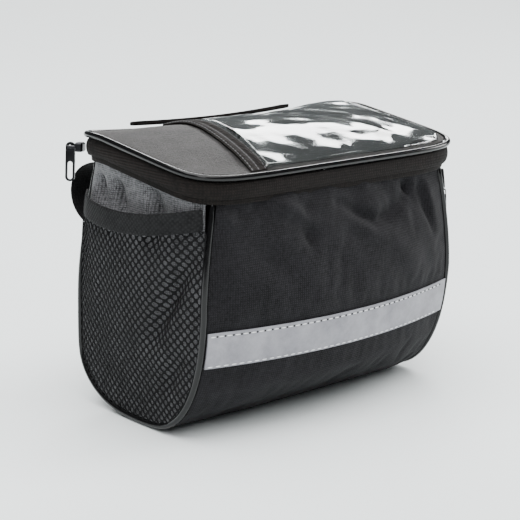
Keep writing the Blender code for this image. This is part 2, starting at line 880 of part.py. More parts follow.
def hinge_strip(material):
    """Raised binding along the back edge of the lid, between the ends of the zip."""
    rows = 10
    y_back = RIM_CENTRE + rim_half_depth() - RIM_PIPING_RADIUS - 2 * GAP
    outer = []
    inner = []
    for r in range(rows + 1):
        x = HINGE_STRIP_LENGTH * (r / rows - 0.5)
        row_out = []
        row_in = []
        for c in range(3):
            y = y_back - HINGE_STRIP_DEPTH * c / 2
            row_in.append(Vector((x, y, lid_z(x, y) + LID_CLEARANCE)))
            row_out.append(Vector((x, y, lid_z(x, y) + LID_CLEARANCE + HINGE_STRIP_HEIGHT)))
        outer.append(row_out)
        inner.append(row_in)
    return slab("lid_hinge_strip", outer, inner, material)


# Straps

def strap_loop(name, x, material):
    """A strap closed into a loop, its flat side sewn to the back panel."""
    high, low = (wall_point(1, x / (LENGTH / 2), z).y for z in (STRAP_TOP, STRAP_TOP - STRAP_DROP))
    count = 14
    loops = []
    for inset in (0.0, STRAP_WALL):
        half = STRAP_DROP / 2 - inset
        reach = STRAP_REACH - 2 * inset
        middle = STRAP_TOP - STRAP_DROP / 2
        profile = []
        for i in range(count + 1):
            turn = math.pi * (i / count - 0.5)
            z = middle + half * math.sin(turn)
            face = mix(low, high, (z - middle) / STRAP_DROP + 0.5) + STRAP_CLEARANCE
            y = face + inset + reach * math.cos(turn) ** 0.8
            profile.append((y, z))
        loops.append(profile)
    mesh_data = bmesh.new()
    rings = []
    for x_side in (x - STRAP_WIDTH / 2, x + STRAP_WIDTH / 2):
        for profile in loops:
            rings.append([mesh_data.verts.new((x_side, y, z)) for y, z in profile])
    outer_left, inner_left, outer_right, inner_right = rings
    bridge_rows(mesh_data, outer_left, inner_left, closed=True)
    bridge_rows(mesh_data, inner_left, inner_right, closed=True)
    bridge_rows(mesh_data, inner_right, outer_right, closed=True)
    bridge_rows(mesh_data, outer_right, outer_left, closed=True)
    return finish(name, mesh_data, material)


# Zip slider and pull at the back left corner

def zip_corner():
    """Place on the band's face, and the ways along the band, up it and out of it."""
    turn = math.radians(SLIDER_TURN)
    step = 0.01
    points = []
    for angle in (turn - step, turn, turn + step):
        x, y = rim_point(angle, BAND_FACE)
        points.append(Vector((x, y, rim_z(x, y))))
    before, place, after = points
    along = (after - before).normalized()
    out = Vector((along.y, -along.x, 0)).normalized()
    if out.dot(place - Vector((0, RIM_CENTRE, 0))) < 0:
        out = -out
    up = along.cross(out)
    if up.z < 0:
        up = -up
    return place - up * SLIDER_DROP, along, up, out


CROWN_STAND = PULL_WIDTH / 2 + GAP + 0.0001


def crown_centre():
    place, along, up, out = zip_corner()
    return place + out * (GAP + SLIDER_DEPTH + CROWN_STAND)


def block(mesh_data, centre, axes, sizes, bevel):
    made = bmesh.ops.create_cube(mesh_data, size=1.0)
    verts = made["verts"]
    for vert in verts:
        local = vert.co.copy()
        vert.co = centre + sum((axis * local[i] * sizes[i] for i, axis in enumerate(axes)), Vector())
    mesh_data.normal_update()
    bmesh.ops.recalc_face_normals(mesh_data, faces=mesh_data.faces)
    edges = {edge for vert in verts for edge in vert.link_edges}
    bmesh.ops.bevel(mesh_data, geom=list(edges), offset=bevel, segments=1, affect="EDGES",
                    clamp_overlap=True)


def join_to(piece, name, mesh_data, material):
    part = finish(name, mesh_data, material)
    part.hide_render = True
    part.display_type = "WIRE"
    join = piece.modifiers.new(name, "BOOLEAN")
    join.operation = "UNION"
    join.solver = "EXACT"
    join.object = part


def zip_slider(material):
    """The slider's body with a wire bridge on its face: a bar on two legs."""
    place, along, up, out = zip_corner()
    body = bmesh.new()
    middle = place + out * (GAP + SLIDER_DEPTH / 2)
    block(body, middle, (along, up, out), (SLIDER_LENGTH, SLIDER_HEIGHT, SLIDER_DEPTH), 0.0009)
    slider = finish("zip_slider", body, material)
    centre = crown_centre()
    reach = SLIDER_LENGTH / 2 - 1.6 * CROWN_RADIUS
    leg_radius = 1.12 * CROWN_RADIUS
    root = CROWN_STAND + CROWN_RADIUS
    bar = bmesh.new()
    prism(bar, oval(centre, out, up, CROWN_RADIUS, 0, 0, 10), along, 2 * reach)
    join_to(slider, "crown_bar", bar, material)
    for side in (-1, 1):
        leg = bmesh.new()
        foot = centre + along * side * reach - out * (root - CROWN_RADIUS) / 2
        prism(leg, oval(foot, along, up, leg_radius, 0, 0, 10), out, root + CROWN_RADIUS)
        join_to(slider, "crown_leg", leg, material)
    return slider


def oval(centre, out, up, half_width, low, high, count):
    """A long hole or outline with round ends, in the plane of the pull."""
    points = []
    for i in range(count):
        turn = 2 * math.pi * (i + 0.5) / count
        level = high if math.sin(turn) > 0 else low
        points.append(centre + out * half_width * math.cos(turn)
                      + up * (level + half_width * math.sin(turn)))
    return points


def prism(mesh_data, points, axis, thickness):
    near = [mesh_data.verts.new(p - axis * thickness / 2) for p in points]
    far = [mesh_data.verts.new(p + axis * thickness / 2) for p in points]
    mesh_data.faces.new(near)
    mesh_data.faces.new(far)
    bridge_rows(mesh_data, near, far, closed=True)


def zip_pull(material):
    """A flat metal tab that hangs from the bridge by its eye."""
    place, along, up, out = zip_corner()
    centre = crown_centre()
    eye = CROWN_RADIUS + HINGE_CLEARANCE
    bottom = -(PULL_LENGTH - PULL_WIDTH)
    plate = bmesh.new()
    prism(plate, oval(centre, out, up, PULL_WIDTH / 2, bottom, 0, 20), along, PULL_WALL)
    pull = finish("zip_pull", plate, material)
    holes = bmesh.new()
    prism(holes, oval(centre, out, up, eye / math.cos(math.pi / 16), 0, 0, 16), along, 3 * PULL_WALL)
    slot = PULL_WIDTH / 2 - PULL_RIM
    prism(holes, oval(centre, out, up, slot, bottom, bottom + PULL_SLOT - 2 * slot, 12), along,
          3 * PULL_WALL)
    cutter = finish("pull_holes", holes, material)
    cutter.hide_render = True
    cutter.display_type = "WIRE"
    cut = pull.modifiers.new("holes", "BOOLEAN")
    cut.operation = "DIFFERENCE"
    cut.solver = "EXACT"
    cut.object = cutter
    return pull


def add_empty(name, place, parent=None):
    empty = bpy.data.objects.new(name, None)
    empty.location = place
    empty.parent = parent
    bpy.context.scene.collection.objects.link(empty)
    return empty


def main():
    for old in list(bpy.data.objects):
        bpy.data.objects.remove(old)

    cloth = make_material("black_polyester", (0.022, 0.022, 0.024), 0.85)
    nylon = make_material("grey_nylon", (0.060, 0.060, 0.062), 0.75)
    webbing = make_material("black_webbing", (0.014, 0.012, 0.011), 0.80)
    piping = make_material("black_vinyl_piping", (0.008, 0.008, 0.008), 0.30)
    net = make_material("black_net", (0.016, 0.016, 0.017), 0.80)
    silver = make_material("reflective_tape", (0.33, 0.33, 0.35), 0.45)
    clear = make_material("clear_vinyl", (0.80, 0.82, 0.84), 0.08, alpha=0.35)
    metal = make_material("blackened_zinc", (0.12, 0.12, 0.13), 0.35, metallic=1.0)

    bag_wrap(cloth)
    for name, end in (("left", -1), ("right", 1)):
        end_panel("end_panel_" + name, end, nylon)
        seam_piping("seam_piping_" + name, end, piping)
        mesh_pocket("mesh_pocket_" + name, end, net)
        pocket_hem("pocket_hem_" + name, end, webbing)
        strap_loop("strap_" + name, end * STRAP_SPACING / 2, webbing)
    reflective_strip(silver)
    lid_top(cloth)
    lid_band(webbing)
    lid_piping(piping)
    zip_tape(webbing)
    map_window(clear)
    window_binding(webbing)
    hinge_strip(webbing)
    zip_slider(metal)
    pull = zip_pull(metal)

    bag = add_empty("bag", (0, 0, SEAM_PIPING_RADIUS))
    hinge = add_empty("pull_hinge", crown_centre(), bag)
    for piece in bpy.data.objects:
        if piece.type != "EMPTY" and piece is not pull and piece.name != "pull_holes":
            piece.parent = bag
    for piece in (pull, bpy.data.objects["pull_holes"]):
        piece.data.transform(Matrix.Translation(-crown_centre()))
        piece.parent = hinge


main()
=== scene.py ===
import math

import bpy
import numpy as np
from mathutils import Matrix, Vector, noise
from mathutils.bvhtree import BVHTree


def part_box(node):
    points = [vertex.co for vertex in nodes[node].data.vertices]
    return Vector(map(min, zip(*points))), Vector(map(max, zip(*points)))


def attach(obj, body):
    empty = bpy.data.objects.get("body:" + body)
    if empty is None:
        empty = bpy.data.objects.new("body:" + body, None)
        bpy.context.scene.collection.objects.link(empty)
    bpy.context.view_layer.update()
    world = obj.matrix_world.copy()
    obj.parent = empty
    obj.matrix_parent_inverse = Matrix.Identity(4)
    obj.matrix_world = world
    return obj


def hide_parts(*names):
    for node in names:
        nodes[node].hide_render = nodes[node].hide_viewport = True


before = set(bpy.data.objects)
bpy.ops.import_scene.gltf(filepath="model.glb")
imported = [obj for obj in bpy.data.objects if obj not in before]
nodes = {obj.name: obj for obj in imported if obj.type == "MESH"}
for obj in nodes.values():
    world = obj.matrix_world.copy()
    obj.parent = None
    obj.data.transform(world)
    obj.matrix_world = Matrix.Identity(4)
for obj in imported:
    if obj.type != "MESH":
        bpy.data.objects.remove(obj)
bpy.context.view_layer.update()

ends = {"left": -1, "right": 1}
print("frame loaded", len(nodes), "nodes")


# shared helpers for meshes

def selectOnly(piece):
    if bpy.context.object and bpy.context.object.mode != "OBJECT":
        bpy.ops.object.mode_set(mode="OBJECT")
    bpy.ops.object.select_all(action="DESELECT")
    piece.select_set(True)
    bpy.context.view_layer.objects.active = piece


def editAll(piece):
    selectOnly(piece)
    bpy.ops.object.mode_set(mode="EDIT")
    bpy.ops.mesh.select_mode(type="VERT")
    bpy.ops.mesh.select_all(action="SELECT")


def leaveEdit():
    bpy.ops.object.mode_set(mode="OBJECT")


def selectFaces(piece, test):
    # test is given each face's centre and normal
    selectOnly(piece)
    bpy.ops.object.mode_set(mode="EDIT")
    bpy.ops.mesh.select_mode(type="FACE")
    bpy.ops.mesh.select_all(action="DESELECT")
    bpy.ops.object.mode_set(mode="OBJECT")
    for face in piece.data.polygons:
        face.select = bool(test(face.center, face.normal))
    bpy.ops.object.mode_set(mode="EDIT")


def keepFaces(piece, test):
    selectFaces(piece, lambda centre, normal: not test(centre, normal))
    bpy.ops.mesh.delete(type="FACE")
    leaveEdit()


def copyOfNode(nodeName, pieceName):
    piece = bpy.data.objects.new(pieceName, nodes[nodeName].data.copy())
    bpy.context.scene.collection.objects.link(piece)
    piece.data.materials.clear()
    selectOnly(piece)
    bpy.ops.mesh.customdata_custom_splitnormals_clear()
    editAll(piece)
    bpy.ops.mesh.remove_doubles(threshold=0.00002)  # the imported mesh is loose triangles
    bpy.ops.mesh.tris_convert_to_quads(face_threshold=math.radians(60), shape_threshold=math.radians(60))
    leaveEdit()
    return piece


def addModifier(piece, kind, **settings):
    selectOnly(piece)
    modifier = piece.modifiers.new(kind.lower(), kind)
    for key, value in settings.items():
        setattr(modifier, key, value)
    bpy.ops.object.modifier_apply(modifier=modifier.name)


def subdivideAll(piece, cuts, roundness=0.0):
    editAll(piece)
    bpy.ops.mesh.subdivide(number_cuts=cuts, smoothness=roundness)
    leaveEdit()


def smoothSurface(piece, levels=1):
    addModifier(piece, "SUBSURF", levels=levels, render_levels=levels)


def giveWall(piece, thickness):
    editAll(piece)
    bpy.ops.mesh.normals_make_consistent(inside=False)
    leaveEdit()
    addModifier(piece, "SOLIDIFY", thickness=thickness, offset=-1.0)


def shadeSmooth(piece, degrees=50):
    selectOnly(piece)
    bpy.ops.object.shade_smooth_by_angle(angle=math.radians(degrees))


def meshPoints(piece):
    points = np.empty(len(piece.data.vertices) * 3)
    piece.data.vertices.foreach_get("co", points)
    return points.reshape(-1, 3)


def setPoints(piece, points):
    piece.data.vertices.foreach_set("co", np.asarray(points, dtype=float).ravel())
    piece.data.update()


def ripple(points, size, seed):
    # smooth noise of about -1 to 1 whose lumps are size metres across
    shift = Vector((seed * 7.13, seed * 3.71, seed * 1.37))
    return np.array([noise.noise(Vector(p) / size + shift) for p in points])


def pushAlongNormals(piece, amount):
    normals = np.array([v.normal[:] for v in piece.data.vertices])
    setPoints(piece, meshPoints(piece) + normals * amount[:, None])


def finishPiece(piece, material, replaced=(), body="bag", degrees=50):
    piece.data.materials.clear()
    piece.data.materials.append(material)
    shadeSmooth(piece, degrees)
    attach(piece, body)
    if replaced:
        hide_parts(*replaced)


# shared helpers for materials

def linearColour(hexText):
    values = [int(hexText[i:i + 2], 16) / 255 for i in (1, 3, 5)]
    return tuple(v / 12.92 if v <= 0.04045 else ((v + 0.055) / 1.055) ** 2.4 for v in values) + (1.0,)


def addNode(material, kind, settings=None, inputs=None):
    node = material.node_tree.nodes.new(kind)
    for key, value in (settings or {}).items():
        setattr(node, key, value)
    for key, value in (inputs or {}).items():
        if isinstance(value, bpy.types.NodeSocket):
            material.node_tree.links.new(value, node.inputs[key])
        else:
            node.inputs[key].default_value = value
    return node


def startMaterial(name, roughness, metallic=0.0):
    material = bpy.data.materials.new(name)
    material.use_nodes = True
    shader = material.node_tree.nodes["Principled BSDF"]
    shader.inputs["Roughness"].default_value = roughness
    shader.inputs["Metallic"].default_value = metallic
    place = addNode(material, "ShaderNodeTexCoord").outputs["Object"]
    return material, shader, place


def linkTo(material, output, socket):
    material.node_tree.links.new(output, socket)


def threadWaves(material, place, spacing, turnedBy, bend=0.0):
    # ridges spacing metres apart; a wave texture's scale of 1 has a ridge each 0.314
    turned = addNode(material, "ShaderNodeMapping", {"vector_type": "POINT"},
                     {"Vector": place, "Rotation": turnedBy})
    return addNode(material, "ShaderNodeTexWave", {"wave_type": "BANDS", "bands_direction": "X"},
                   {"Vector": turned.outputs["Vector"], "Scale": 0.314 / spacing,
                    "Distortion": bend, "Detail": 1.0, "Detail Scale": 2.0}).outputs["Fac"]


def mixedColour(material, share, first, second):
    mixer = addNode(material, "ShaderNodeMix", {"data_type": "RGBA"})
    linkTo(material, share, mixer.inputs[0])
    for socket, value in ((6, first), (7, second)):
        if isinstance(value, bpy.types.NodeSocket):
            linkTo(material, value, mixer.inputs[socket])
        else:
            mixer.inputs[socket].default_value = value
    return mixer.outputs[2]


def woven(name, darkHex, lightHex, roughness, threadSpacing, acrossTurn, alongTurn,
          threadDepth, mottleSize, sheen=0.0):
    # plain-woven cloth: two sets of threads at right angles and a cloudy wear pattern
    material, shader, place = startMaterial(name, roughness)
    warp = threadWaves(material, place, threadSpacing, acrossTurn, 0.6)
    weft = threadWaves(material, place, threadSpacing, alongTurn, 0.6)
    weave = addNode(material, "ShaderNodeMath", {"operation": "MULTIPLY"}, {0: warp, 1: weft}).outputs[0]
    cloud = addNode(material, "ShaderNodeTexNoise", {}, {"Vector": place, "Scale": 1 / mottleSize,
                                                         "Detail": 4.0, "Roughness": 0.6}).outputs["Fac"]
    grain = addNode(material, "ShaderNodeTexNoise", {}, {"Vector": place, "Scale": 1 / (threadSpacing * 1.4),
                                                         "Detail": 2.0, "Roughness": 0.7}).outputs["Fac"]
    both = addNode(material, "ShaderNodeMath", {"operation": "MULTIPLY_ADD"},
                   {0: weave, 1: 0.45, 2: grain}).outputs[0]
    shade = addNode(material, "ShaderNodeMath", {"operation": "MULTIPLY_ADD"},
                    {0: cloud, 1: 0.55, 2: both}).outputs[0]
    span = addNode(material, "ShaderNodeMapRange", {}, {"Value": shade, "From Min": 0.55, "From Max": 1.15})
    colour = mixedColour(material, span.outputs["Result"], linearColour(darkHex), linearColour(lightHex))
    linkTo(material, colour, shader.inputs["Base Color"])
    height = addNode(material, "ShaderNodeMath", {"operation": "MULTIPLY_ADD"},
                     {0: weave, 1: 0.6, 2: grain}).outputs[0]
    bump = addNode(material, "ShaderNodeBump", {}, {"Height": height, "Strength": 0.6,
                                                    "Distance": threadDepth})
    linkTo(material, bump.outputs["Normal"], shader.inputs["Normal"])
    shader.inputs["Specular IOR Level"].default_value = 0.16
    if sheen:
        shader.inputs["Sheen Weight"].default_value = sheen
        shader.inputs["Sheen Roughness"].default_value = 0.5
    return material


quarter = math.pi / 2

# 600 denier polyester, plain weave, coated behind: matt charcoal with a dusty, mottled look.
# Its real threads are 0.4 mm apart, drawn at 1.3 mm so that they show.
polyesterCloth = woven("wovenPolyester", "#060607", "#201f22", 0.85, 0.0013, (0, 0, 0), (0, quarter, 0),
                       0.0005, 0.018, sheen=0.02)
# the lid's cloth is the same polyester painted lighter: its lighter colour is painted light, for the light it
# catches facing up; the weave is seen from above
lidPolyesterPaintedLight = woven("wovenPolyesterLidPaintedLight", "#060606", "#373534", 0.62, 0.0013, (0, 0, 0), (0, 0, quarter),
                     0.0007, 0.015, sheen=0.03)
# ripstop-like grey nylon of the ends, thinner and a little shiny
nylonCloth = woven("wovenNylon", "#232324", "#77777a", 0.60, 0.0012, (0, 0, quarter), (0, quarter, 0),
                   0.0005, 0.012, sheen=0.08)
# tightly woven binding tape, brown-black, with ribs across it
bandTape = woven("ribbedTape", "#040302", "#191412", 0.78, 0.0016, (0, 0, 0), (0, quarter, 0),
                 0.0005, 0.03)
hemTape = woven("diagonalTape", "#020203", "#1c1c1d", 0.75, 0.0019, (quarter / 2, 0, quarter),
                (-quarter / 2, 0, quarter), 0.0006, 0.02)
netThread = woven("knittedNet", "#010102", "#08080a", 0.72, 0.0010, (0, 0, quarter), (0, quarter, 0),
                  0.0003, 0.02)
strapWebbing = woven("strapWebbing", "#030303", "#121213", 0.85, 0.0018, (0, 0, 0), (0, quarter, 0),
                     0.0006, 0.02)


def makeVinyl():
    # extruded PVC cord: smooth, dark and glossy, with faint handling marks
    material, shader, place = startMaterial("glossyVinyl", 0.15)
    marks = addNode(material, "ShaderNodeTexNoise", {}, {"Vector": place, "Scale": 160.0, "Detail": 3.0})
    colour = mixedColour(material, marks.outputs["Fac"], linearColour("#020202"), linearColour("#0b0a0c"))
    linkTo(material, colour, shader.inputs["Base Color"])
    rough = addNode(material, "ShaderNodeMapRange", {}, {"Value": marks.outputs["Fac"],
                                                         "To Min": 0.10, "To Max": 0.24})
    linkTo(material, rough.outputs["Result"], shader.inputs["Roughness"])
    shader.inputs["Specular IOR Level"].default_value = 0.3
    bump = addNode(material, "ShaderNodeBump", {}, {"Height": marks.outputs["Fac"], "Strength": 0.25,
                                                    "Distance": 0.0003})
    linkTo(material, bump.outputs["Normal"], shader.inputs["Normal"])
    return material


def makeClearSheet():
    # calendered clear PVC, 0.3 mm: soft, wavy and very shiny
    material, shader, place = startMaterial("clearVinylSheet", 0.05)
    shader.inputs["Base Color"].default_value = linearColour("#e9eeee")
    shader.inputs["IOR"].default_value = 1.54
    shader.inputs["Transmission Weight"].default_value = 1.0
    waves = addNode(material, "ShaderNodeTexNoise", {}, {"Vector": place, "Scale": 38.0, "Detail": 1.0,
                                                         "Distortion": 0.4})
    bump = addNode(material, "ShaderNodeBump", {}, {"Height": waves.outputs["Fac"], "Strength": 0.22,
                                                    "Distance": 0.002})
    linkTo(material, bump.outputs["Normal"], shader.inputs["Normal"])
    return material


def makeReflectiveTape():
    # glass-bead reflective fabric: flat silver grey with soft rubs
    material, shader, place = startMaterial("reflectiveFabric", 0.48)
    rubs = addNode(material, "ShaderNodeTexNoise", {}, {"Vector": place, "Scale": 70.0, "Detail": 5.0,
                                                        "Roughness": 0.65})
    span = addNode(material, "ShaderNodeMapRange", {}, {"Value": rubs.outputs["Fac"], "From Min": 0.3,
                                                        "From Max": 0.7})
    colour = mixedColour(material, span.outputs["Result"], linearColour("#77767c"), linearColour("#98979d"))
    linkTo(material, colour, shader.inputs["Base Color"])
    shader.inputs["Metallic"].default_value = 0.25
    beads = addNode(material, "ShaderNodeTexNoise", {}, {"Vector": place, "Scale": 900.0, "Detail": 1.0})
    bump = addNode(material, "ShaderNodeBump", {}, {"Height": beads.outputs["Fac"], "Strength": 0.3,
                                                    "Distance": 0.0003})
    linkTo(material, bump.outputs["Normal"], shader.inputs["Normal"])
    return material


def makePlain(name, darkHex, lightHex, roughness, metallic, patternSize):
    material, shader, place = startMaterial(name, roughness, metallic)
    marks = addNode(material, "ShaderNodeTexNoise", {}, {"Vector": place, "Scale": 1 / patternSize,
                                                         "Detail": 3.0})
    colour = mixedColour(material, marks.outputs["Fac"], linearColour(darkHex), linearColour(lightHex))
    linkTo(material, colour, shader.inputs["Base Color"])
    bump = addNode(material, "ShaderNodeBump", {}, {"Height": marks.outputs["Fac"], "Strength": 0.2,
                                                    "Distance": 0.0003})
    linkTo(material, bump.outputs["Normal"], shader.inputs["Normal"])
    return material


vinylCord = makeVinyl()
clearSheet = makeClearSheet()
silverTape = makeReflectiveTape()
whiteThread = makePlain("whiteThread", "#c9c9cc", "#f1f1f2", 0.6, 0.0, 0.002)
blackThread = makePlain("blackThread", "#060606", "#1c1c1d", 0.6, 0.0, 0.002)
# the binding's black thread painted grey: the grey stands in for its highlights, a painted highlight
bindingThreadPaintedHighlight = makePlain("bindingThreadPaintedHighlight", "#3a3a3c", "#6a6a6c", 0.6, 0.0, 0.002)
zincMetal = makePlain("blackenedZinc", "#161617", "#3c3c3f", 0.30, 1.0, 0.004)
print("materials made")


# stitches: one stitch is modelled, then copied along a path

def oneStitch(length, width):
    bpy.ops.object.select_all(action="DESELECT")
    bpy.ops.mesh.primitive_uv_sphere_add(segments=8, ring_count=5, radius=0.5)
    stitch = bpy.context.object
    editAll(stitch)
    bpy.ops.transform.rotate(value=quarter, orient_axis="Y", center_override=(0, 0, 0))
    bpy.ops.transform.resize(value=(length, width, width * 0.6))
    leaveEdit()
    return stitch


def stitchRow(name, places, length, width, material, body="bag"):
    # places: point, direction along the row, direction out of the cloth
    pattern = oneStitch(length, width)
    copies = []
    for point, along, out in places:
        along = along.normalized()
        out = (out - along * out.dot(along)).normalized()
        side = out.cross(along)
        turn = Matrix((along, side, out)).transposed().to_4x4()
        copy = bpy.data.objects.new(name + "Copy", pattern.data.copy())
        copy.data.transform(Matrix.Translation(point) @ turn)
        bpy.context.scene.collection.objects.link(copy)
        copies.append(copy)
    bpy.data.objects.remove(pattern)
    bpy.ops.object.select_all(action="DESELECT")
    for copy in copies:
        copy.select_set(True)
    bpy.context.view_layer.objects.active = copies[0]
    bpy.ops.object.join()
    row = copies[0]
    row.name = name
    finishPiece(row, material, body=body)
    return row


def surfaceOf(piece):
    mesh = piece.data
    return BVHTree.FromPolygons([v.co[:] for v in mesh.vertices], [p.vertices[:] for p in mesh.polygons])


def dropOnto(tree, starts, direction, stand):
    # points where rays meet the surface, with the way along the row and the normal
    hits = []
    for start in starts:
        place, normal, _, _ = tree.ray_cast(Vector(start), Vector(direction))
        if place is not None:
            if normal.dot(Vector(direction)) > 0:
                normal = -normal
            hits.append((place + normal * stand, normal))
    places = []
    for k in range(len(hits)):
        before = hits[max(k - 1, 0)][0]
        after = hits[min(k + 1, len(hits) - 1)][0]
        if (after - before).length > 1e-6:
            places.append((hits[k][0], after - before, hits[k][1]))
    return places


# body cloth: front, bottom and back in one sheet

bodySettings = {"cuts": 3, "wall": 0.0016, "frames": 22, "pressure": 0.9, "spareCloth": -0.016,
                "mostMove": 0.0050, "stripLow": 0.0440, "stripHigh": 0.0690}

# drawn folds of the front: places across and up, width, height (below zero is a valley)
frontFolds = ((((-0.054, 0.134), (-0.041, 0.129), (-0.026, 0.118)), 0.0042, 0.0026),
              (((-0.006, 0.129), (0.009, 0.121), (0.022, 0.115), (0.037, 0.117), (0.052, 0.124)), 0.0036, -0.0030),
              (((-0.002, 0.123), (0.012, 0.113), (0.024, 0.108)), 0.0050, 0.0018),
              (((0.055, 0.134), (0.061, 0.125)), 0.0045, -0.0050),
              (((-0.031, 0.121), (-0.031, 0.107)), 0.0040, -0.0018),
              (((0.067, 0.134), (0.073, 0.116), (0.078, 0.101)), 0.0032, -0.0024),
              (((-0.094, 0.136), (-0.082, 0.126)), 0.0036, 0.0018),
              (((0.030, 0.104), (0.050, 0.090), (0.062, 0.076)), 0.0080, 0.0016),
              (((-0.070, 0.112), (-0.050, 0.096), (-0.040, 0.078)), 0.0090, -0.0014))


def clothSettle(piece, pinned, settings):
    # lets the cloth find its own wrinkles, held where it is sewn
    group = piece.vertex_groups.new(name="sewn")
    for index, weight in enumerate(pinned):
        if weight > 0:
            group.add([index], float(weight), "REPLACE")
    before = meshPoints(piece)
    selectOnly(piece)
    cloth = piece.modifiers.new("cloth", "CLOTH")
    cloth.settings.vertex_group_mass = "sewn"
    cloth.settings.effector_weights.gravity = 0.0
    cloth.settings.quality = 5
    cloth.settings.mass = 0.25
    cloth.settings.tension_stiffness = 15
    cloth.settings.compression_stiffness = 15
    cloth.settings.shear_stiffness = 8
    cloth.settings.bending_stiffness = settings.get("bending", 0.6)
    cloth.settings.shrink_min = settings["spareCloth"]
    cloth.settings.use_pressure = True
    cloth.settings.uniform_pressure_force = settings["pressure"]
    cloth.settings.air_damping = 3.0
    scene = bpy.context.scene
    cloth.point_cache.frame_start = 1
    cloth.point_cache.frame_end = settings["frames"] + 1
    for step in range(1, settings["frames"] + 1):
        scene.frame_set(step)
    bpy.ops.object.modifier_apply(modifier=cloth.name)
    scene.frame_set(1)
    piece.vertex_groups.clear()
    move = meshPoints(piece) - before
    length = np.linalg.norm(move, axis=1)
    limit = settings["mostMove"]
    share = np.where(length > 1e-9, limit * np.tanh(length / limit) / np.maximum(length, 1e-9), 1.0)
    setPoints(piece, before + move * share[:, None])


def edgeVertices(piece):
    counts = {}
    for face in piece.data.polygons:
        for key in face.edge_keys:
            counts[key] = counts.get(key, 0) + 1
    return {v for key, count in counts.items() if count == 1 for v in key}


def foldAmount(across, up, folds):
    # height of drawn folds, each fading out at the ends of its line
    amount = np.zeros(len(across))
    for line, width, height in folds:
        corners = np.array(line)
        steps = np.linalg.norm(np.diff(corners, axis=0), axis=1)
        total = steps.sum()
        best = np.full(len(across), 9.0)
        along = np.zeros(len(across))
        start = 0.0
        for a, b, step in zip(corners, corners[1:], steps):
            away = np.column_stack((across, up)) - a
            share = np.clip(away @ (b - a) / step ** 2, 0, 1)
            distance = np.linalg.norm(away - share[:, None] * (b - a), axis=1)
            nearer = distance < best
            best = np.where(nearer, distance, best)
            along = np.where(nearer, (start + share * step) / total, along)
            start += step
        amount += height * np.exp(-(best / width) ** 2) * np.sin(np.pi * (0.15 + 0.70 * along))
    return amount


def makeBodyCloth():
    settings = bodySettings
    piece = copyOfNode("bag_wrap", "bodyCloth")

    def outside(centre, normal):
        if centre.z < 0.030:
            way = Vector((0, centre.y * 0.5, centre.z - 0.06)).normalized()
        else:
            way = Vector((0, centre.y, 0)).normalized()
        return normal.dot(way) > 0.4

    keepFaces(piece, outside)
    subdivideAll(piece, settings["cuts"], 0.6)
    points = meshPoints(piece)
    edge = edgeVertices(piece)
    pinned = np.zeros(len(points))
    for index in edge:
        pinned[index] = 1.0
    front = points[:, 1] < 0
    under = front & (points[:, 2] > settings["stripLow"]) & (points[:, 2] < settings["stripHigh"])
    pinned[under] = 1.0
    pinned[points[:, 2] < 0.004] = 1.0
    straps = (points[:, 1] > 0.03) & (points[:, 2] > 0.095) & (np.abs(np.abs(points[:, 0]) - 0.07) < 0.016)
    pinned[straps] = 1.0
    clothSettle(piece, pinned, settings)
    points = meshPoints(piece)
    free = 1 - pinned
    soft = ripple(points, 0.030, 1) * 0.0012 + ripple(points, 0.012, 2) * 0.00040
    drawn = np.where(points[:, 1] < -0.03, 1.7 * foldAmount(points[:, 0], points[:, 2], frontFolds), 0.0)
    pushAlongNormals(piece, (soft + drawn) * free)
    points = meshPoints(piece)
    points[:, 2] = np.maximum(points[:, 2], 0.0)
    setPoints(piece, points)
    smoothSurface(piece, 1)
    giveWall(piece, settings["wall"])
    finishPiece(piece, polyesterCloth, ("bag_wrap",))
    print("body cloth made", len(piece.data.polygons), "faces")
    return piece


bodyCloth = makeBodyCloth()


# end panels: grey nylon with upright folds over the pocket

endSettings = {"cuts": 3, "wall": 0.0012, "foldPlaces": (-0.0170, 0.0165, 0.0345), "foldWidth": 0.0042,
               "foldDepth": 0.0075, "foldLow": 0.110, "foldHigh": 0.143,
               "creases": ((-0.047, 0.108, -0.018, 0.056, 0.0050, 0.0045),
                           (-0.040, 0.050, -0.026, 0.026, 0.0045, 0.0020))}


def makeEndCloth(side, end):
    settings = endSettings
    piece = copyOfNode("end_panel_" + side, "endCloth_" + side)
    keepFaces(piece, lambda centre, normal: normal.x * end > 0.5)
    subdivideAll(piece, settings["cuts"], 0.4)
    points = meshPoints(piece)
    edge = edgeVertices(piece)
    held = np.ones(len(points))
    for index in edge:
        held[index] = 0.0
    amount = ripple(points, 0.016, 3 + end) * 0.0006
    for place in settings["foldPlaces"]:
        lean = (points[:, 2] - 0.125) * 0.25
        fold = np.exp(-((points[:, 1] - place - lean) / settings["foldWidth"]) ** 2)
        rise = np.clip((points[:, 2] - settings["foldLow"]) / 0.015, 0, 1)
        fade = np.clip((settings["foldHigh"] - points[:, 2]) / 0.006, 0, 1)
        amount = amount - settings["foldDepth"] * fold * rise * fade
    for y0, z0, y1, z1, width, depth in settings["creases"]:
        line = np.array((y1 - y0, z1 - z0))
        away = points[:, 1:] - np.array((y0, z0))
        along = np.clip(away @ line / (line @ line), 0, 1)
        distance = np.linalg.norm(away - along[:, None] * line, axis=1)
        amount = amount - depth * np.exp(-(distance / width) ** 2) * np.sin(np.pi * (0.12 + 0.76 * along))
    pushAlongNormals(piece, amount * held)
    smoothSurface(piece, 1)
    giveWall(piece, settings["wall"])
    finishPiece(piece, nylonCloth, ("end_panel_" + side,))
    return piece


endCloths = {side: makeEndCloth(side, end) for side, end in ends.items()}
print("end panels made")


# pocket nets: a lattice of thread over the end panels

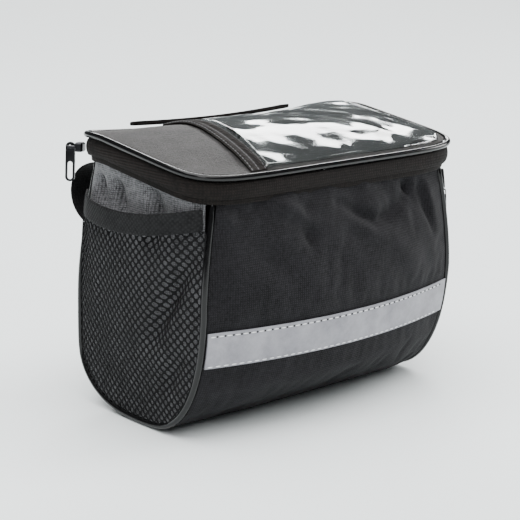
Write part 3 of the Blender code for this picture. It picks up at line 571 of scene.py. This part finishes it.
netSettings = {"cell": 0.0034, "thread": 0.00105, "top": 0.1225, "topFront": 0.1225, "inset": 0.0016,
               "slack": 0.0078, "clear": 0.0022, "halfDepth": 0.056,
               "frontCorner": (0.041, 0.070), "backCorner": (0.047, 0.033), "lift": 0.0019,
               "creases": ((-0.046, 0.104, -0.020, 0.058, 0.0062, 0.80),
                           (-0.040, 0.050, -0.026, 0.026, 0.0050, 0.45),
                           (0.020, 0.094, 0.034, 0.040, 0.0060, 0.25))}


def pocketOutline():
    # edge of the net in the end view, down the front, round the bottom and up the back
    settings = netSettings
    half = settings["halfDepth"] - settings["inset"]
    lift = settings["lift"]
    points = [(-half, settings["top"])]
    for sign, (depth, height) in ((-1, settings["frontCorner"]), (1, settings["backCorner"])):
        arc = []
        for k in range(9):
            turn = quarter * k / 8
            y = sign * (half - depth + depth * math.cos(turn))
            z = lift + settings["inset"] + (height - settings["inset"]) * (1 - math.sin(turn))
            arc.append((y, z))
        points += arc if sign < 0 else arc[::-1]
    points.append((half, settings["top"]))
    return points


def pocketStand(y, z):
    # how far the slack net stands off the end panel
    settings = netSettings
    across = min(max(y / settings["halfDepth"], -1), 1)
    height = min(max(z / settings["top"], 0), 1)
    slack = settings["slack"] * (1 - across * across) * (1 - (1 - height) ** 2)
    dent = 0.0
    for y0, z0, y1, z1, width, depth in settings["creases"]:
        line = Vector((y1 - y0, z1 - z0))
        away = Vector((y - y0, z - z0))
        along = min(max(away.dot(line) / line.length_squared, 0), 1)
        distance = (away - line * along).length
        taper = math.sin(math.pi * (0.12 + 0.76 * along))
        dent = max(dent, depth * math.exp(-(distance / width) ** 2) * taper)
    return slack * (1 - dent)


def makeNet(side, end):
    settings = netSettings
    count = int(0.19 / settings["cell"])
    bpy.ops.object.select_all(action="DESELECT")
    bpy.ops.mesh.primitive_grid_add(x_subdivisions=count, y_subdivisions=count, size=0.19)
    piece = bpy.context.object
    piece.name = "pocketNet_" + side
    editAll(piece)
    bpy.ops.transform.rotate(value=math.radians(45), orient_axis="Z", center_override=(0, 0, 0))
    leaveEdit()
    flat = meshPoints(piece)
    setPoints(piece, np.column_stack((np.zeros(len(flat)), flat[:, 0], flat[:, 1] * 1.06 + 0.064)))
    outline = pocketOutline()
    middle = Vector((0, 0, 0.07))
    for k in range(len(outline)):
        a = Vector((0, *outline[k]))
        b = Vector((0, *outline[(k + 1) % len(outline)]))
        along = b - a
        if along.length < 1e-6:
            continue
        normal = Vector((0, -along.z, along.y))
        if normal.dot(middle - a) > 0:
            normal = -normal
        editAll(piece)
        bpy.ops.mesh.bisect(plane_co=a, plane_no=normal.normalized(), clear_outer=True)
        leaveEdit()
    editAll(piece)
    bpy.ops.mesh.remove_doubles(threshold=0.0002)
    leaveEdit()
    tree = surfaceOf(endCloths[side])
    points = meshPoints(piece)
    placed = []
    for _, y, z in points:
        hit, _, _, _ = tree.ray_cast(Vector((end * 0.2, y, z)), Vector((-end, 0, 0)))
        if hit is None:
            hit, _, _, _ = tree.find_nearest(Vector((end * 0.101, y, z)))
        placed.append((hit.x + end * (0.0004 + pocketStand(y, z)), y, z))
    setPoints(piece, placed)
    addModifier(piece, "WIREFRAME", thickness=settings["thread"], use_even_offset=False,
                use_boundary=True, use_replace=True, offset=0.0)
    smoothSurface(piece, 1)
    finishPiece(piece, netThread, ("mesh_pocket_" + side,), degrees=80)
    print("net made", side, len(piece.data.polygons), "faces")
    return piece


nets = {side: makeNet(side, end) for side, end in ends.items()}


# hems of the pockets

hemSettings = {"tuck": 0.0024, "reach": 0.0014}


def makeHem(side, end):
    piece = copyOfNode("pocket_hem_" + side, "pocketHem_" + side)
    subdivideAll(piece, 2, 0.0)
    points = meshPoints(piece)
    low, high = points[:, 1].min(), points[:, 1].max()
    across = (2 * points[:, 1] - low - high) / (high - low)
    wave = ripple(points, 0.018, 5) * 0.0006
    points[:, 0] += end * (wave - hemSettings["tuck"] * np.abs(across) ** 5)
    points[:, 1] += np.sign(across) * np.abs(across) ** 8 * hemSettings["reach"]
    setPoints(piece, points)
    smoothSurface(piece, 1)
    finishPiece(piece, hemTape, ("pocket_hem_" + side,), degrees=60)
    return piece


hems = {side: makeHem(side, end) for side, end in ends.items()}


# piping down the seams and round the lid

def makePiping(nodeName, pieceName):
    piece = copyOfNode(nodeName, pieceName)
    smoothSurface(piece, 2)
    points = meshPoints(piece)
    pushAlongNormals(piece, np.full(len(points), 0.00022))  # the smoothing thins the cord
    points = meshPoints(piece)
    points[:, 2] = np.maximum(points[:, 2], 0.0001)
    if nodeName.startswith("seam"):  # its ends go up under the zip tape
        for sign in (-1, 1):
            side = points[:, 1] * sign > 0
            top = points[side][:, 2].max()
            end = side & (points[:, 2] > top - 0.0022)
            points[end, 2] += 0.0025
    setPoints(piece, points)
    finishPiece(piece, vinylCord, (nodeName,), degrees=80)
    return piece


for side in ends:
    makePiping("seam_piping_" + side, "seamPiping_" + side)
lidPiping = makePiping("lid_piping", "lidPiping")
print("piping made")


# lid

lidSettings = {"lumps": 0.0007, "wall": 0.0014}


def makeLidCloth():
    settings = lidSettings
    piece = copyOfNode("lid_top", "lidCloth")
    keepFaces(piece, lambda centre, normal: normal.z > 0.5)
    subdivideAll(piece, 1, 0.5)
    smoothSurface(piece, 1)
    points = meshPoints(piece)
    edge = edgeVertices(piece)
    held = np.ones(len(points))
    for index in edge:
        held[index] = 0.0
    amount = ripple(points, 0.034, 7) * settings["lumps"] + ripple(points, 0.011, 8) * 0.0003
    pushAlongNormals(piece, amount * held)
    giveWall(piece, settings["wall"])
    # the lid gets the lighter copy of the polyester, whose extra lightness is painted light
    finishPiece(piece, lidPolyesterPaintedLight, ("lid_top",))
    return piece


lidCloth = makeLidCloth()


def makeBand():
    piece = copyOfNode("lid_band", "lidBand")
    smoothSurface(piece, 2)
    finishPiece(piece, bandTape, ("lid_band",), degrees=40)
    return piece


lidBand = makeBand()


def makeZip():
    piece = copyOfNode("zip_tape", "zipTape")
    smoothSurface(piece, 2)
    finishPiece(piece, bandTape, ("zip_tape",), degrees=40)
    return piece


zipTape = makeZip()
print("lid cloth, band and zip made")


# clear map window and its binding

windowSettings = {"cuts": 5, "wall": 0.0005, "puff": 0.0018, "swell": 0.0026, "swellSize": 0.050,
                  "creaseSize": 0.019, "crease": 0.00060}


def lowerOnto(tree, points, lift):
    # sets the height of points to the surface below them plus their own lift
    for k, (x, y, z) in enumerate(points):
        hit, _, _, _ = tree.ray_cast(Vector((x, y, 0.3)), Vector((0, 0, -1)))
        if hit is not None:
            points[k][2] = hit.z + lift[k]
    return points


lidSurface = surfaceOf(lidCloth)


def makeWindow():
    settings = windowSettings
    piece = copyOfNode("map_window", "mapWindow")
    keepFaces(piece, lambda centre, normal: normal.z > 0.5)
    subdivideAll(piece, settings["cuts"], 0.0)
    smoothSurface(piece, 1)
    points = meshPoints(piece)
    edge = edgeVertices(piece)
    low, high = points.min(axis=0), points.max(axis=0)
    share = (points - low) / (high - low)
    middle = np.clip(4 * share[:, 0] * (1 - share[:, 0]), 0, 1) * np.clip(4 * share[:, 1] * (1 - share[:, 1]), 0, 1)
    points = lowerOnto(lidSurface, points, 0.0008 + settings["puff"] * middle ** 0.5)
    setPoints(piece, points)
    stretched = points * np.array((0.6, 1.0, 1.0))
    amount = (ripple(stretched, settings["swellSize"], 11) * settings["swell"]
              + ripple(points, settings["creaseSize"], 12) * settings["crease"])
    held = np.ones(len(points))
    for index in edge:
        held[index] = 0.0
    pushAlongNormals(piece, amount * held)
    giveWall(piece, settings["wall"])
    finishPiece(piece, clearSheet, ("map_window",), degrees=80)
    return piece


mapWindow = makeWindow()


bindingSettings = {"width": 0.0125, "thick": 0.0011, "ridge": 0.0011, "front": -0.0588, "back": 0.0520,
                   "route": ((-1.0, -0.0634), (-0.74, -0.0584), (-0.41, -0.0529), (-0.04, -0.0464),
                             (0.33, -0.0415), (1.0, -0.0355)), "rows": 60, "columns": 18}


def bindingLine(share):
    route = bindingSettings["route"]
    return float(np.interp(share, [a for a, _ in route], [x for _, x in route]))


def makeBinding():
    # two folded tapes side by side, each rounded, with a stitched groove between
    settings = bindingSettings
    rows, columns = settings["rows"], settings["columns"]
    bpy.ops.object.select_all(action="DESELECT")
    bpy.ops.mesh.primitive_grid_add(x_subdivisions=columns, y_subdivisions=rows, size=2)
    piece = bpy.context.object
    piece.name = "windowBinding"
    points = meshPoints(piece)
    lift = []
    for k, (u, v, _) in enumerate(points):
        y = settings["front"] + (settings["back"] - settings["front"]) * (v + 1) / 2
        points[k] = (bindingLine(v) + u * settings["width"] / 2, y, 0.16)
        first = math.exp(-((u + 0.48) / 0.34) ** 4)
        second = 0.85 * math.exp(-((u - 0.56) / 0.28) ** 4)
        sunk = min((v + 1) / 0.16, 1.0)  # it dips under the lid's piping in front
        lift.append(0.0003 + settings["thick"] * (0.3 + 0.7 * sunk) + settings["ridge"] * sunk * max(first, second))
    points = lowerOnto(lidSurface, points, lift)
    setPoints(piece, points)
    smoothSurface(piece, 1)
    giveWall(piece, settings["thick"])
    finishPiece(piece, bandTape, ("window_binding",), degrees=60)
    return piece


windowBinding = makeBinding()


def stitchBinding():
    # rows of lock stitch along both tapes, 3 mm apart; the thread is black, painted grey as a painted highlight
    settings = bindingSettings
    tree = surfaceOf(windowBinding)
    count = int((settings["back"] - settings["front"]) / 0.0030)
    for number, offset in enumerate((-0.0050, -0.0004, 0.0046)):
        starts = []
        for k in range(count):
            share = 2 * (k + 0.5) / count - 1
            y = settings["front"] + (settings["back"] - settings["front"]) * (share + 1) / 2
            starts.append((bindingLine(share) + offset, y, 0.3))
        places = dropOnto(tree, starts, (0, 0, -1), 0.0001)
        stitchRow("bindingStitches_%d" % number, places, 0.0023, 0.0007, bindingThreadPaintedHighlight)


stitchBinding()


def makeHingeStrip():
    piece = copyOfNode("lid_hinge_strip", "hingeStrip")
    subdivideAll(piece, 2, 0.0)
    smoothSurface(piece, 1)
    finishPiece(piece, bandTape, ("lid_hinge_strip",), degrees=60)
    return piece


hingeStrip = makeHingeStrip()


# reflective strip with its stitching

stripSettings = {"cuts": 3, "stitch": 0.0032, "step": 0.0048, "thick": 0.00075, "inTop": 0.0021,
                 "inLow": 0.0011}


def makeStrip():
    piece = copyOfNode("reflective_strip", "reflectiveStrip")
    subdivideAll(piece, stripSettings["cuts"], 0.0)
    finishPiece(piece, silverTape, ("reflective_strip",), degrees=40)
    return piece


reflectiveStrip = makeStrip()


def stitchStrip():
    settings = stripSettings
    low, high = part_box("reflective_strip")
    tree = surfaceOf(reflectiveStrip)
    for name, height, material in (("stripStitchesTop", high[2] - settings["inTop"], whiteThread),
                                   ("stripStitchesLow", low[2] + settings["inLow"], whiteThread)):
        count = int((high[0] - low[0] - 0.004) / settings["step"])
        starts = [(low[0] + 0.003 + settings["step"] * k, -0.2, height) for k in range(count)]
        places = dropOnto(tree, starts, (0, 1, 0), 0.0001)
        stitchRow(name, places, settings["stitch"], settings["thick"], material)
        if name == "stripStitchesTop":
            starts = [(x + settings["step"] / 2, y, z) for x, y, z in starts]
            places = dropOnto(tree, starts, (0, 1, 0), 0.0001)
            stitchRow("stripNeedleHoles", places, 0.0013, 0.0012, blackThread)


stitchStrip()
print("strip made")


# straps

def makeStrap(side):
    piece = copyOfNode("strap_" + side, "strapLoop_" + side)
    subdivideAll(piece, 1, 0.0)
    smoothSurface(piece, 2)
    finishPiece(piece, strapWebbing, ("strap_" + side,), degrees=50)
    return piece


for side in ends:
    makeStrap(side)

# metal

for nodeName in ("zip_slider", "zip_pull"):
    node = nodes[nodeName]
    for slotPlace in node.material_slots:
        slotPlace.material = zincMetal
print("straps and metal made")


# stage, lights and camera

stageSettings = {"floor": "#f5fafa", "size": 40.0}


def makeStage():
    bpy.ops.object.select_all(action="DESELECT")
    bpy.ops.mesh.primitive_plane_add(size=stageSettings["size"], location=(0, 0, -0.0004))
    floor = bpy.context.object
    floor.name = "floor"
    material, shader, place = startMaterial("paleFloor", 0.9)
    shader.inputs["Base Color"].default_value = linearColour(stageSettings["floor"])
    shader.inputs["Specular IOR Level"].default_value = 0.1
    floor.data.materials.append(material)


makeStage()


def addLight(name, place, target, width, height, power, colour=(1, 1, 1)):
    data = bpy.data.lights.new(name, "AREA")
    data.shape = "RECTANGLE"
    data.size = width
    data.size_y = height
    data.energy = power
    data.color = colour
    light = bpy.data.objects.new(name, data)
    light.location = place
    light.rotation_euler = (Vector(target) - Vector(place)).to_track_quat("-Z", "Y").to_euler()
    bpy.context.scene.collection.objects.link(light)


addLight("topLight", (-0.3, -0.2, 3.2), (0, 0, 0.1), 4.0, 4.0, 310)
addLight("keyLight", (-2.4, -2.2, 2.2), (0, 0, 0.1), 1.4, 1.4, 50)
addLight("backPanel", (3.1, 3.5, 2.35), (0, 0, 0.15), 2.6, 1.1, 150)
addLight("fillLight", (2.9, -0.9, 1.2), (0, 0, 0.1), 1.2, 1.2, 55)

world = bpy.data.worlds.new("studio")
bpy.context.scene.world = world
world.use_nodes = True
world.node_tree.nodes["Background"].inputs["Color"].default_value = linearColour("#dfe6e8")
world.node_tree.nodes["Background"].inputs["Strength"].default_value = 0.22

cameraSettings = {"place": (-0.643, -0.683, 0.3149), "yaw": 42.95, "down": 13.96, "roll": 1.24,
                  "focal": 1589.0}


def makeCamera():
    settings = cameraSettings
    data = bpy.data.cameras.new("photoCamera")
    data.sensor_width = 36.0
    data.lens = 36.0 * settings["focal"] / 520
    data.clip_start = 0.01
    camera = bpy.data.objects.new("photoCamera", data)
    yaw = math.radians(settings["yaw"])
    down = math.radians(settings["down"])
    roll = math.radians(settings["roll"])
    flat = Vector((math.sin(yaw), math.cos(yaw), 0))
    right = Vector((math.cos(yaw), -math.sin(yaw), 0))
    up = Vector((0, 0, 1))
    forward = flat * math.cos(down) - up * math.sin(down)
    above = flat * math.sin(down) + up * math.cos(down)
    imageRight = right * math.cos(roll) + above * math.sin(roll)
    imageUp = above * math.cos(roll) - right * math.sin(roll)
    turn = Matrix((imageRight, imageUp, -forward)).transposed().to_4x4()
    camera.matrix_world = Matrix.Translation(settings["place"]) @ turn
    bpy.context.scene.collection.objects.link(camera)
    bpy.context.scene.camera = camera


makeCamera()
print("stage, lights and camera made")
